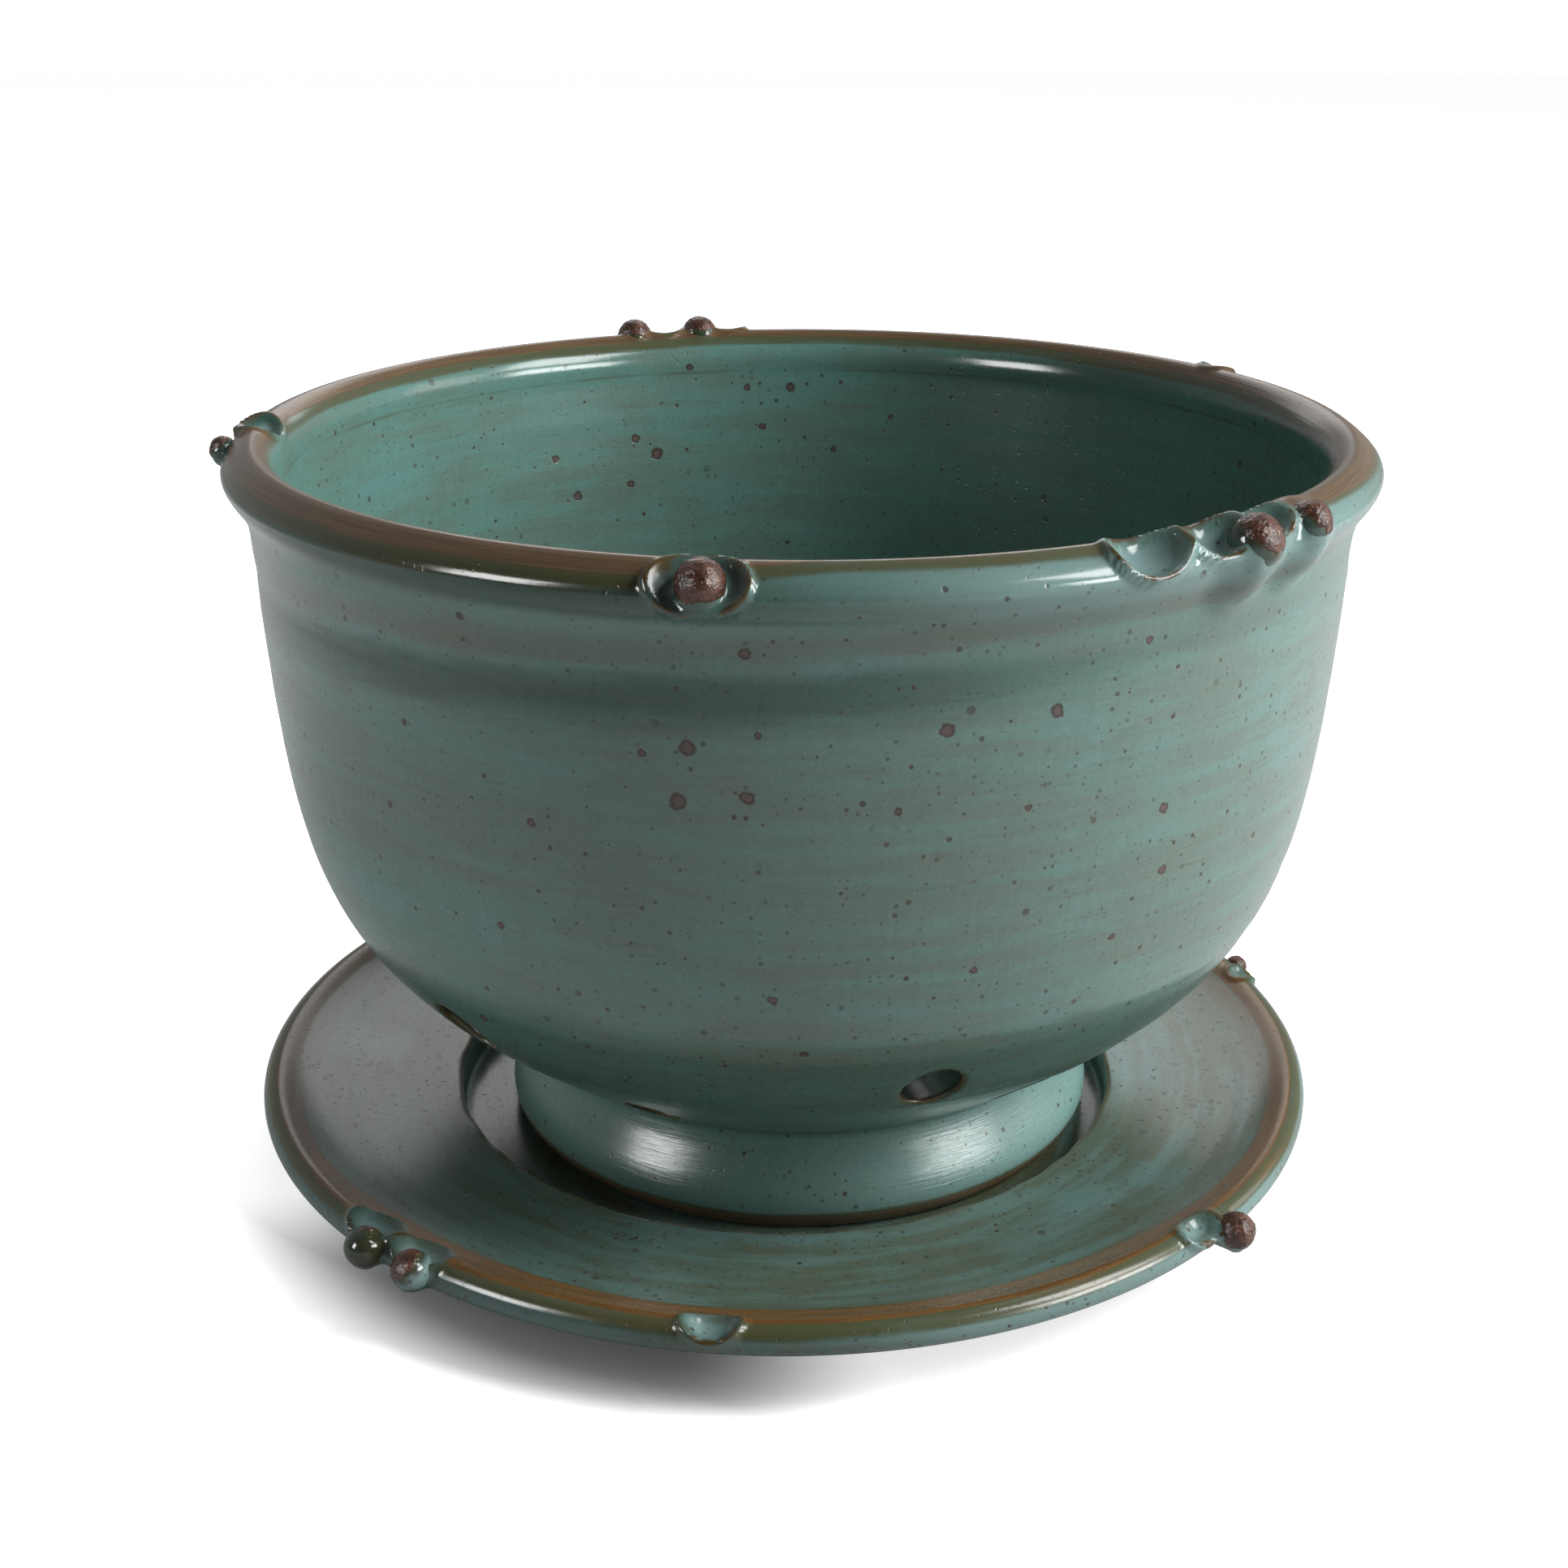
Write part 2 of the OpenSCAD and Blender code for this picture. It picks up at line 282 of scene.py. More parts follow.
class Hole:
    """A drain hole: its middle on the bore's axis, and the directions out, sideways and up."""

    def __init__(self, turn, height, at_r, rise):
        a = math.radians(turn)
        self.turn = turn
        self.axis = direction(turn, -rise)
        self.side = np.array([math.cos(a), math.sin(a), 0.0])
        self.up = np.cross(self.axis, self.side)
        self.start = np.array([at_r * math.sin(a), -at_r * math.cos(a), height])
        self.slope = math.tan(math.radians(rise))
        self.height, self.at_r = height, at_r

    def meets(self, outline, low, high):
        """Run at which the bore's axis crosses a stretch of the outline."""
        kept = (outline.run >= low) & (outline.run <= high)
        p = outline.points[kept]
        off = p[:, 1] - (self.height + (self.at_r - p[:, 0]) * self.slope)
        return outline.run[kept][np.abs(off).argmin()]


def drain_holes():
    found = []
    for first, height, at_r, rise, stagger in HOLE_ROWS:
        for i in range(HOLE_COUNT):
            lift = stagger if i % 2 == 0 else -stagger
            found.append(Hole(first + 360 / HOLE_COUNT * i, height + lift, at_r, rise))
    return found


# How far the patch round a drain hole reaches past the hole's edge, along the outline and round
# the piece, and how round that edge is
PATCH_ALONG = 2.6
PATCH_ROUND = 2.4
HOLE_EDGE_ROUND = 1.1


class Shell:
    """The skin of a thrown piece, built ring by ring along its outline."""

    def __init__(self, outline):
        self.outline = outline
        self.rows = []
        self.count = 0
        self.faces = []
        self.last = None

    def add(self, turn, r, z, nr, nz, run, hold):
        rows = np.stack(np.broadcast_arrays(turn, r, z, nr, nz, run, hold), -1).reshape(-1, 7)
        self.rows.append(rows.astype(float))
        first = self.count
        self.count += len(rows)
        return first + np.arange(len(rows))

    def ring(self, run, turns):
        return self.add(np.radians(turns), *self.outline.at(run), run, 1), turns

    def join(self, low, high, shut=None):
        """Faces between neighbouring rings, with none where shut marks a hole's patch."""
        ids_a, turns_a = low
        ids_b, turns_b = high
        if len(ids_a) != len(ids_b):
            self.zip_loops(ids_a, turns_a, ids_b, turns_b)
            return
        quads = np.stack([ids_a, np.roll(ids_a, -1), np.roll(ids_b, -1), ids_b], 1)
        if shut is not None:
            quads = quads[~shut]
        self.faces += quads.tolist()

    def cap(self, run, top):
        """Closes the last ring to one point on the axis."""
        ids = self.last[0]
        middle = self.add(0, *self.outline.at(run), run, 0)[0]
        for a, b in zip(ids, np.roll(ids, -1)):
            self.faces.append([a, b, middle] if top else [b, a, middle])

    def zip_loops(self, ids_a, turns_a, ids_b, turns_b):
        """Triangles between two closed loops whose points lie at growing turns, in degrees."""
        next_a = np.append(turns_a[1:], turns_a[0] + 360)
        next_b = np.append(turns_b[1:], turns_b[0] + 360)
        i = j = 0
        while i < len(ids_a) or j < len(ids_b):
            a, b = ids_a[i % len(ids_a)], ids_b[j % len(ids_b)]
            if j == len(ids_b) or (i < len(ids_a) and next_a[i] <= next_b[j]):
                i += 1
                self.faces.append([a, ids_a[i % len(ids_a)], b])
            else:
                j += 1
                self.faces.append([a, ids_b[j % len(ids_b)], b])

    def zone(self, low, high, step, turns, holes=(), skin=None, fan_steps=0):
        """Rings from one run up to, and not on, another, with a patch round each hole. Returns each
        bore's end loop."""
        runs = np.linspace(low, high, max(1, round((high - low) / step)), endpoint=False)
        rings = [self.ring(run, turns) for run in runs]
        shut = np.zeros((len(rings), len(turns)), bool)
        blocks = []
        for hole in holes:
            middle = hole.meets(self.outline, *skin)
            r, _, nr, nz = self.outline.at(middle)
            lean = abs(nr * math.hypot(*hole.axis[:2]) + nz * hole.axis[2])
            half_rows = math.ceil((HOLE_R / lean + PATCH_ALONG) / step)
            half_columns = math.ceil(math.degrees((HOLE_R + PATCH_ROUND) / r) * len(turns) / 360)
            row = int(round((middle - low) / (high - low) * len(runs)))
            column = int(round(hole.turn % 360 * len(turns) / 360))
            row_span = np.arange(row - half_rows, row + half_rows + 1)
            column_span = np.arange(column - half_columns, column + half_columns + 1) % len(turns)
            shut[np.ix_(row_span[:-1], column_span[:-1])] = True
            blocks.append((hole, row_span, column_span))
        self.join(self.last, rings[0])
        for i, (a, b) in enumerate(zip(rings, rings[1:])):
            self.join(a, b, shut[i])
        self.last = rings[-1]
        bores = []
        for hole, rows, cols in blocks:
            path = [(rows[0], c) for c in cols[:-1]] + [(r, cols[-1]) for r in rows[:-1]]
            path += [(rows[-1], c) for c in cols[:0:-1]] + [(r, cols[0]) for r in rows[:0:-1]]
            loop = np.array([rings[i][0][j] for i, j in path])
            bores.append(self.patch(loop, hole, skin, fan_steps))
        return bores

    def places(self, ids):
        rows = np.concatenate(self.rows)[ids]
        return np.stack([rows[:, 1] * np.sin(rows[:, 0]), -rows[:, 1] * np.cos(rows[:, 0]), rows[:, 2]], 1)

    def patch(self, loop, hole, skin, steps):
        """Rings of points from a loop on the skin over the hole's rounded edge into its bore."""
        bore_depth = 2.5
        inset = 1.7
        p = self.places(loop) - hole.start
        across, above, out = p @ hole.side, p @ hole.up, p @ hole.axis
        turn, rho = np.arctan2(above, across), np.hypot(across, above)

        def place(radius, height):
            t = np.broadcast_to(turn, radius.shape)
            return (hole.start + (radius * np.cos(t))[..., None] * hole.side
                    + (radius * np.sin(t))[..., None] * hole.up + height[..., None] * hole.axis)

        def skin_gap(radius, height):
            q = place(radius, height)
            return self.outline.nearest(np.hypot(q[..., 0], q[..., 1]), q[..., 2], *skin)[0]

        # Height along the bore at which its wall meets the skin
        middle = out.mean()
        low, high = np.full(len(loop), middle - 8), np.full(len(loop), middle + 8)
        at_wall = np.full(len(loop), HOLE_R)
        outer = skin_gap(at_wall, high).mean() > 0
        low, high = halve(low, high, lambda half: (skin_gap(at_wall, half) > 0) == outer, 22)

        # In the plane of each loop point and the bore's axis, rays fan out from a point inside the clay
        edge = np.stack([at_wall, (low + high) / 2], 1)
        rim = np.stack([rho, out], 1)
        inwards = -1.0 if outer else 1.0
        deep = edge + np.array([0, inwards * bore_depth])
        to_rim = (rim - edge) / lengths(rim - edge)[:, None]
        between = to_rim + np.array([0, inwards])
        between /= lengths(between)[:, None]
        lean = np.abs(to_rim[:, 0] * between[:, 1] - to_rim[:, 1] * between[:, 0])
        core = edge + between * np.minimum(inset / lean, 4.0)[:, None]

        def bearing(point):
            d = point - core
            return np.arctan2(d[:, 1], d[:, 0])

        ahead = bearing(edge)
        start, stop = (ahead + (bearing(end) - ahead + np.pi) % (2 * np.pi) - np.pi for end in (rim, deep))
        share = (np.arange(1, steps + 1) / steps)[:, None]
        way = start + (stop - start) * share
        ray = np.stack([np.cos(way), np.sin(way)], -1)

        def is_outside(length):
            point = core + ray * length[..., None]
            gap = skin_gap(point[..., 0], point[..., 1])
            return soft_max(gap, HOLE_R - point[..., 0], HOLE_EDGE_ROUND) >= 0

        far = np.broadcast_to(lengths(edge - core) + 7, way.shape)
        near = halve(np.zeros(way.shape), far, is_outside, 24)[0]
        point = core + ray * near[..., None]
        q = place(point[..., 0], point[..., 1])
        radius = np.hypot(q[..., 0], q[..., 1])
        gap, normal, run = self.outline.nearest(radius, q[..., 2], *skin)
        hold = ramp(-1.6, 0, gap)
        previous = (loop, np.degrees(turn))
        for i in range(steps):
            ids = self.add(np.arctan2(q[i, :, 0], -q[i, :, 1]), radius[i], q[i, :, 2],
                           normal[i, :, 0], normal[i, :, 1], run[i], hold[i])
            self.join(previous, (ids, previous[1]))
            previous = (ids, previous[1])
        return previous

    def line_bores(self, outer_ends, inner_ends):
        """Joins each bore's two ends."""
        for (ids_a, turn_a), (ids_b, turn_b) in zip(outer_ends, inner_ends):
            order_a, order_b = np.argsort(turn_a), np.argsort(turn_b)
            self.zip_loops(ids_a[order_a], turn_a[order_a], ids_b[order_b], turn_b[order_b])


# A scoop's raised lip: its thickness, and how much it stands proud of the roll
LIP_T = 0.8
LIP_PROUD = 0.35

# How softly the clay's forms meet: the lip's own edge, the lip and the roll, a swell and the rim,
# a scoop and what it cuts, a bead's seat and the rim
LIP_ROUND = 0.8
LIP_BLEND = 1.0
SWELL_BLEND = 3.5
SCOOP_EDGE = 0.5
SEAT_BLEND = 1.5

# The clay that holds a bead is a ball a little lower and smaller than the bead
SEAT_DROP = np.array([0, 0, 0.7])
SEAT_LESS = 0.45

# How far from scoops, swells and beads the rim keeps its plain shape
RELIEF_REACH = 6


def relief(points, outwards, slant, rim):
    """How far each point moves outwards, how near it is to a scoop's edge, how deep it then lies in a
    scoop, and its share of the rim's own glaze, which ends beside a scoop."""
    scoops, swells, beads = (
        [(ball_centre(rim, place), place[3]) for place in places]
        for places in (rim.scoops, rim.swells, rim.beads.values())
    )
    close = np.min([lengths(points - c) - r for c, r in scoops + beads + swells], axis=0) < RELIEF_REACH
    p, d, s = points[close], outwards[close], slant[close]

    def is_outside(t):
        q = p + d * t[:, None]
        solid = t * s
        off_spine = np.hypot(np.hypot(q[:, 0], q[:, 1]) - rim.r - LIP_T, q[:, 2] - rim.z)
        roll = off_spine - rim.roll_r - LIP_PROUD
        for centre, radius in scoops:
            ball = lengths(q - centre) - radius - LIP_T
            solid = soft_min(solid, soft_max(roll, ball, LIP_ROUND), LIP_BLEND)
        for centre, radius in swells:
            solid = soft_min(solid, lengths(q - centre) - radius, SWELL_BLEND)
        for centre, radius in scoops:
            solid = soft_max(solid, radius - lengths(q - centre), SCOOP_EDGE)
        for centre, radius in beads:
            seat = lengths(q - (centre - SEAT_DROP)) - radius + SEAT_LESS
            solid = soft_min(solid, seat, SEAT_BLEND)
        return solid >= 0

    # The first crossing from outside: a march inwards, then halving
    step, start, count = 0.15, 3.2, 52
    t = np.full(len(p), start)
    done = np.zeros(len(p), bool)
    for _ in range(count):
        done |= ~is_outside(t)
        t = np.where(done, t, t - step)
    low, high = halve(t, t + step, is_outside, 12)
    t = (low + high) / 2
    q = p + d * t[:, None]
    edge = np.zeros(len(p))
    own = np.ones(len(p))
    for centre, radius in scoops:
        off = lengths(q - centre) - radius
        own = np.minimum(own, ramp(0.05, 0.24 * radius, off))
        below = ramp(0.25, -0.35, (q[:, 2] - centre[2]) / radius)
        edge = np.maximum(edge, (0.15 + 0.85 * below) * hump(off, 0.25, 0.34))
    edge *= hump(np.minimum(t * s, 0), 0, 1.1) * (0.35 + 0.65 * ramp(-0.4, 0.8, t * s))
    move, at_edge, depth = np.zeros((3, len(points)))
    own_glaze = np.ones(len(points))
    move[close], at_edge[close], depth[close], own_glaze[close] = t, edge, -t * s, own
    return move, at_edge, depth, own_glaze


def throwing_marks(turn, run, strength):
    """Low spiral ridges that fingers leave on a thrown wall."""
    waves = ((12.3, 1, 0.5, 0.045), (7.9, -1, 1.9, 0.040), (4.9, 2, 4.1, 0.030), (3.1, 1, 0.3, 0.016))
    lift = sum(size * np.sin(2 * np.pi * run / length + spiral * turn + phase)
               for length, spiral, phase, size in waves)
    slow = 0.6 + 0.4 * np.sin(run / 17 + 2 * turn)
    return strength * slow * lift


def add_object(name, data):
    thing = bpy.data.objects.new(name, data)
    bpy.context.scene.collection.objects.link(thing)
    return thing


def make_mesh(name, points, faces, fields):
    mesh = bpy.data.meshes.new(name)
    mesh.from_pydata((points * MM).tolist(), [], faces)
    mesh.validate()
    for key, values in fields.items():
        mesh.attributes.new(key, "FLOAT", "POINT").data.foreach_set("value", np.asarray(values, np.float32))
    mesh.shade_smooth()
    return add_object(name, mesh)


# Outlines, from the middle of the underside to the middle of the top
RIM_CURVE = (
    WALL_TOP, (79.6, 99.2), (80.6, 101.3), (81.8, 103.0), (82.5, 104.6), (82.2, 105.9),
    (81.3, 106.9), (80.2, 107.8), (79.3, 108.45), (78.3, 108.75), (77.2, 108.35), (76.2, 107.4),
    (75.3, 106.5), (74.6, 105.2), (74.3, 103.9), (74.35, 102.6), (74.4, 101.2), (74.3, 99.2),
    (WALL_TOP[0] - WALL_T, WALL_TOP[1]),
)


def bowl_outline():
    wall = bezier([NECK, *WALL_BENDS, WALL_TOP])
    along = np.gradient(wall, axis=0)
    along /= lengths(along)[:, None]
    inside = (wall + WALL_T * np.stack([-along[:, 1], along[:, 0]], 1))[::-1]
    return Outline([
        [(0, RECESS_Z), (RECESS_R, RECESS_Z), (RING_IN_R, 0), (RING_OUT_R, 0)],
        through(FOOT_CURVE)[:-1],
        wall,
        through(RIM_CURVE)[1:-1],
        inside[:-1],
        bezier([inside[-1], (FLOOR_R + 3, FLOOR_Z), (FLOOR_R - 5, FLOOR_Z), (FLOOR_R - 12, FLOOR_Z)]),
        [(0, FLOOR_Z)],
    ], 0.45)


def saucer_outline():
    return Outline([
        [(0, 0), (BASE_R - 0.5, 0)],
        bezier([(BASE_R, 0), (63.3, 7.1), (78.2, 9.6)])[2:],
        arc((SAUCER_RIM_R, SAUCER_RIM_Z), (SAUCER_ROLL_R, SAUCER_ROLL_R), -100, 122),
        bezier([(77.0, 12.9), (71.5, 10.1), (62.0, 9.4), (WELL_R + 0.7, WELL_EDGE_Z)]),
        arc((WELL_R + 0.6, WELL_EDGE_Z - 0.6), (0.6, 0.6), 100, 180, 8),
        [(WELL_R, WELL_Z + 0.2), (WELL_R - 0.2, WELL_Z), (0, WELL_Z)],
    ], 0.3)


def crest_break(turn, tilt, table):
    """1 on the brown crest, a half in the olive beside it, 0 beyond; and how dark it is beyond."""
    rows = np.array([(row[0] + whole, *row[1:]) for whole in (-360, 0, 360) for row in table])
    degrees = np.degrees(turn)
    low, high, olive_low, dark = (np.interp(degrees, rows[:, 0], rows[:, i]) for i in (1, 2, 3, 4))
    brown = ramp(-12, 12, tilt - low) * ramp(9, -9, tilt - high)
    olive_high = high + 32 * ramp(60, 95, np.abs(degrees))
    olive = ramp(-18, 18, tilt - olive_low) * ramp(18, -10, tilt - olive_high)
    darker = dark * ramp(-62, -25, tilt) * ramp(120, 90, tilt)
    return 0.5 * np.maximum(olive, brown) + 0.5 * brown, darker


# Turn of a rim's far left, in radians
FAR_LEFT = math.radians(-87)


def rim_glaze(rim, turn, r, z, edge, depth, own_glaze):
    """Where a rim's glaze is thin, where it is darker, where it is pooled, and a painted highlight on
    its roll at the right.
    """
    tilt = np.degrees(np.arctan2(z - rim.z, r - rim.r))
    tilt = np.where(tilt < -90, tilt + 360, tilt)
    far = rim.roll_r + rim.reach
    near_roll = ramp(far, far - 1.8, np.hypot(r - rim.r, z - rim.z))
    unscooped = 1 - ramp(0.1, 0.8, depth)
    thin, darker = crest_break(turn, tilt, rim.breaks)
    thin = np.maximum(thin * (near_roll * own_glaze), 0.32 * edge)
    darker *= near_roll * unscooped
    at_left = ramp(0.14, 0.08, np.abs(turn - FAR_LEFT)) * near_roll
    darker = np.maximum(darker, rim.left_dark * at_left * ramp(150, 115, tilt))
    # Painted highlight: the roll's outer face is made paler towards the right, where the lamps light it
    to_right = ramp(0, 0.35, turn) * ramp(1.3, 0.9, turn)
    painted_highlight = 0.7 * near_roll * ramp(-62, -25, tilt) * ramp(75, 40, tilt) * to_right * unscooped
    return {"thin": thin, "darker": darker, "pool_and_painted_sheen": np.maximum(ramp(0.5, 1.6, depth), painted_highlight)}


def thin_at_holes(points, round_dir, hold, holes):
    """How thin the glaze runs over the drain holes' edges."""
    thin = np.zeros(len(points))
    for hole in holes:
        q = points - hole.start
        out = q @ hole.axis
        gap = np.abs(lengths(q - out[:, None] * hole.axis) - HOLE_R)
        near = round_dir @ hole.axis > 0.9
        here = 0.8 * hump(gap, 0, 0.75) * (0.3 + 0.7 * hold)
        thin = np.where(near, np.maximum(thin, here), thin)
    return thin


def finish_shell(shell, rim, spine, marks, holes=()):
    """Moves the skin's points by marks and relief and works out where the glaze is thin or pooled,
    and where painted highlight and painted shade go.
    """
    turn, r, z, nr, nz, run, hold = np.concatenate(shell.rows).T
    turn = (turn + np.pi) % (2 * np.pi) - np.pi
    round_dir = np.stack([np.sin(turn), -np.cos(turn), 0 * turn], 1)

    def in_space(out, up):
        return round_dir * out[:, None] + np.array([0, 0, 1]) * up[:, None]

    points = in_space(r, z)
    normals = in_space(nr, nz)
    points += normals * (hold * marks(turn, run, r, z))[:, None]
    # Near the rim a point moves away from the roll's spine
    spine_r, spine_z = spine(r, z)
    away = in_space(r - spine_r, z - spine_z)
    away /= np.maximum(lengths(away), 1e-6)[:, None]
    slant = np.clip((away * normals).sum(1), 0.3, 1)
    move, edge, depth, own_glaze = relief(points, away, slant, rim)
    points += away * move[:, None]
    fields = rim_glaze(rim, turn, r, z, edge, depth, own_glaze)
    fields["thin"] = np.maximum(fields["thin"], thin_at_holes(points, round_dir, hold, holes))
    # Inside the drain holes' bores: painted shade in the colour, and a duller finish
    fields["bore"] = ramp(0.95, 0.5, hold) * (np.abs(nr) > 0.3)
    fields["run"] = run
    fields["edge"] = edge
    return points + np.array(rim.axis), fields


# Turns of a ring's points, in degrees
COARSE = np.arange(0, 360, 3.0)
MIDDLE = np.arange(0, 360, 1.5)
FINE = np.arange(0, 360, 1.0)


def build_bowl(outline):
    shell = Shell(outline)
    foot = outline.run_at((RING_IN_R, 0))
    neck = outline.run_at(NECK)
    low_wall = outline.run_at((70.0, 45.0), neck)
    rim_start = outline.run_at((79.0, 88.0), neck)
    crest = outline.run_at((78.3, 108.8), neck)
    rim_end = outline.run_at((74.1, 91.0), crest)
    low_inside = outline.run_at((65.5, 45.0), crest)
    floor_edge = outline.run_at((FLOOR_R - 4, FLOOR_Z), crest)
    end = outline.run[-1]
    outer_skin = (neck - 2, low_wall + 8)
    inner_skin = (low_inside - 8, floor_edge + 2)
    holes = drain_holes()

    shell.last = shell.ring(1.5, COARSE)
    shell.cap(0.0, False)
    shell.zone(3.0, foot - 3, 2.5, COARSE)
    shell.zone(foot - 3, neck, 0.7, FINE)
    outer_ends = shell.zone(neck, low_wall, 1.0, FINE, holes, outer_skin, 14)
    shell.zone(low_wall, rim_start, 2.0, FINE)
    shell.zone(rim_start, rim_end, 0.5, rim_columns(BOWL_RIM))
    shell.zone(rim_end, low_inside, 2.0, FINE)
    inner_ends = shell.zone(low_inside, floor_edge, 1.0, FINE, holes, inner_skin, 9)
    shell.zone(floor_edge, end - 1.5, 2.5, COARSE)
    shell.cap(end, True)
    shell.line_bores(outer_ends, inner_ends)

    def spine(r, z):
        return np.full_like(r, RIM_R), np.minimum(z, RIM_Z - 3.4)

    def marks(turn, run, r, z):
        on_wall = ramp(neck + 2, neck + 14, run) * ramp(end - 8, end - 30, run)
        off_rim = np.maximum(ramp(crest - 15, crest - 22, run), ramp(crest + 12, crest + 20, run))
        lift = throwing_marks(turn, run, 0.9) * on_wall * off_rim
        groove_z = 92.4 + 1.9 * np.sin(turn)
        groove = -0.16 * hump(z, groove_z, 2.6)
        return lift + groove * (run < crest) * ramp(0, 1, r - 60)

    points, fields = finish_shell(shell, BOWL_RIM, spine, marks, holes)
    run = fields["run"]
    height = points[:, 2] - BOWL_AXIS[2]
    turn = np.arctan2(points[:, 0] - BOWL_AXIS[0], BOWL_AXIS[1] - points[:, 1])
    outside = ramp(crest + 1, crest - 1, run)
    inner_line = hump(height, 102.1, 0.55) * (1 - outside) * (run < crest + 20)
    bare = ramp(foot - 1.0, foot - 0.2, run) * ramp(0.9, 0.4, height) * (run < neck)
    foot_edge = hump(height, 1.7, 1.5) * ramp(foot, foot + 3, run) * (run < neck)
    on_foot = ramp(foot + 3, foot + 6, run) * ramp(neck + 3, neck - 1, run)
    fields["thin"] = np.max([fields["thin"], 0.36 * inner_line, foot_edge, bare], axis=0)
    # Pale foot glaze, partly its own colour and partly painted light: paler towards the right, where the
    # lamps light it
    foot_pale_and_painted_light = on_foot * (0.68 + 0.32 * np.sin(turn))
    glossy = np.maximum(0.1 * on_foot, 0.8 * ramp(99, 103, height))
    fields.update(foot=foot_pale_and_painted_light, glossy=glossy, outside=outside, bare=bare)
    return make_mesh("glazed_bowl", points, shell.faces, fields)


def build_saucer(outline):
    shell = Shell(outline)
    base = outline.run_at((BASE_R, 0))
    rim_start = outline.run_at((73.5, 9.0))
    crest = outline.run_at((SAUCER_RIM_R, SAUCER_RIM_Z + SAUCER_ROLL_R))
    rim_end = outline.run_at((71.0, 10.4), crest)
    well_edge = outline.run_at((WELL_R, WELL_EDGE_Z), crest)
    well_floor = outline.run_at((WELL_R - 1, WELL_Z), well_edge)
    end = outline.run[-1]

    shell.last = shell.ring(2.0, COARSE)
    shell.cap(0.0, False)
    shell.zone(5.0, base - 4, 4.0, COARSE)
    shell.zone(base - 4, rim_start, 1.2, MIDDLE)
    shell.zone(rim_start, rim_end, 0.42, rim_columns(SAUCER_RIM))
    shell.zone(rim_end, well_edge - 2, 1.2, FINE)
    shell.zone(well_edge - 2, well_floor + 2, 0.4, FINE)
    shell.zone(well_floor + 2, end - 2, 3.5, COARSE)
    shell.cap(end, True)

    def spine(r, z):
        spine_r = np.minimum(r, SAUCER_RIM_R)
        return spine_r, np.interp(spine_r, [BASE_R, 70, SAUCER_RIM_R], [5.5, 9.4, SAUCER_RIM_Z])

    def marks(turn, run, r, z):
        top = ramp(rim_end - 4, rim_end + 3, run) * ramp(well_edge - 1, well_edge - 5, run)
        lift = throwing_marks(turn, run + 3, 1.1) * top
        chips = 0.12 * np.sin(31 * turn + 2 * np.sin(7 * turn)) * hump(run, well_edge, 0.7)
        return lift + chips

    points, fields = finish_shell(shell, SAUCER_RIM, spine, marks)
    run = fields["run"]
    at_rim = ramp(71.5, 74, np.hypot(points[:, 0], points[:, 1]))
    well = ramp(well_edge - 0.6, well_edge + 0.8, run)
    above_floor = ramp(well_floor + 1, well_floor - 1, run)
    well_wall = ramp(well_edge + 0.3, well_edge + 1.0, run) * above_floor
    rough_edge = hump(run - well_edge, -0.2, 0.55)
    fields["thin"] = np.max([fields["thin"], 0.7 * rough_edge, 0.30 * well], axis=0)
    # Painted reflection: the well's wall is made pale instead of dark
    fields["pool_and_painted_sheen"] = np.maximum(fields["pool_and_painted_sheen"], 0.9 * well_wall)
    fields["glossy"] = np.maximum(0.15 * well, 0.4 * at_rim) - 2.8 * well_wall
    fields["bare"] = ramp(base + 0.5, base - 0.8, run)
    return make_mesh("glazed_saucer", points, shell.faces, fields)


def divided_ball():
    """Directions and faces of a finely divided ball."""
    ball = bmesh.new()
    bmesh.ops.create_icosphere(ball, subdivisions=5, radius=1)
    directions = np.array([v.co for v in ball.verts])
    faces = [[v.index for v in f.verts] for f in ball.faces]
    ball.free()
    return directions, faces


def build_bead(name, place, rim):
    """A rolled clay bead: a lumpy ball, wrinkled where the glaze runs off its top."""
    lump, brown_from, tilt, sideways, pooled = place[4:]
    directions, faces = divided_ball()
    centre = ball_centre(rim, place)
    seed = Vector(centre) * 0.37
    cover = directions @ direction(place[0] + sideways, tilt)
    shape = []
    for d, c in zip(directions, cover):
        v = Vector(d)
        low = noise.noise(v * 1.3 + seed)
        ridges = abs(noise.noise(v * 4.2 + seed)) + 0.5 * abs(noise.noise(v * 9.0 + seed))
        wrinkle = 0.055 * float(ramp(brown_from - 0.3, brown_from + 0.2, c))
        shape.append(1 - lump * (0.5 + 0.5 * low) - wrinkle * (0.75 - ridges))
    # A bead stays just inside its solid
    shape = np.minimum(np.array(shape), 0.998)
    points = directions * (place[3] * shape)[:, None] + centre + np.array(rim.axis)
    ragged = cover + 0.22 * np.array([noise.noise(Vector(d) * 2.6 + seed) for d in directions])
    fields = {
        "thin": ramp(brown_from - 0.25, brown_from + 0.25, ragged),
        "pool_and_painted_sheen": pooled * ramp(0.3, -0.3, ragged),
        "run": points[:, 2],
    }
    return make_mesh(name + "_clay", points, faces, fields)


